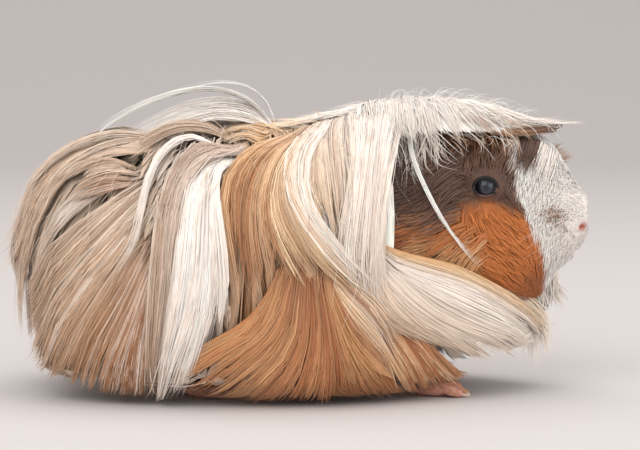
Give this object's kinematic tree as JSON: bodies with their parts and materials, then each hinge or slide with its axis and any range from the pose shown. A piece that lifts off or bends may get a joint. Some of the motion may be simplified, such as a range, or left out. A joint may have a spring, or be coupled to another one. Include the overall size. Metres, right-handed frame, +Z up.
{
  "type": "long-haired guinea pig",
  "caption": "Life-size still model of a long-haired tricolour guinea pig standing at rest in side pose, for a museum display.",
  "frame": {"origin": "on the floor, under the middle of the animal's bounding box", "axes": "+X towards the nose, +Y to the animal's left, +Z up"},
  "size_m": [0.2546, 0.1356, 0.1371],
  "materials": {
    "white_coat": "long silky hair",
    "tan_coat": "long silky hair",
    "beige_coat": "long silky hair",
    "orange_coat": "short sleek hair",
    "brown_coat": "short sleek hair",
    "ear_skin": "bare thin skin",
    "foot": "bare toes under short hair",
    "eye": "wet gloss"
  },
  "bodies": {
    "root": {"rump": "beige_coat", "trunk": "tan_coat", "shoulders": "white_coat", "chest": "white_coat", "neck": "white_coat", "head": "orange_coat", "muzzle": "white_coat", "mane": "white_coat", "forelock": "brown_coat", "leg_front_right": "foot", "leg_front_left": "foot", "leg_hind_right": "foot", "leg_hind_left": "foot", "ear_right": "ear_skin", "ear_left": "ear_skin", "eye_right": "eye", "eye_left": "eye", "crest_lock_long": "white_coat", "crest_lock_short": "white_coat"}
  },
  "joints": []
}
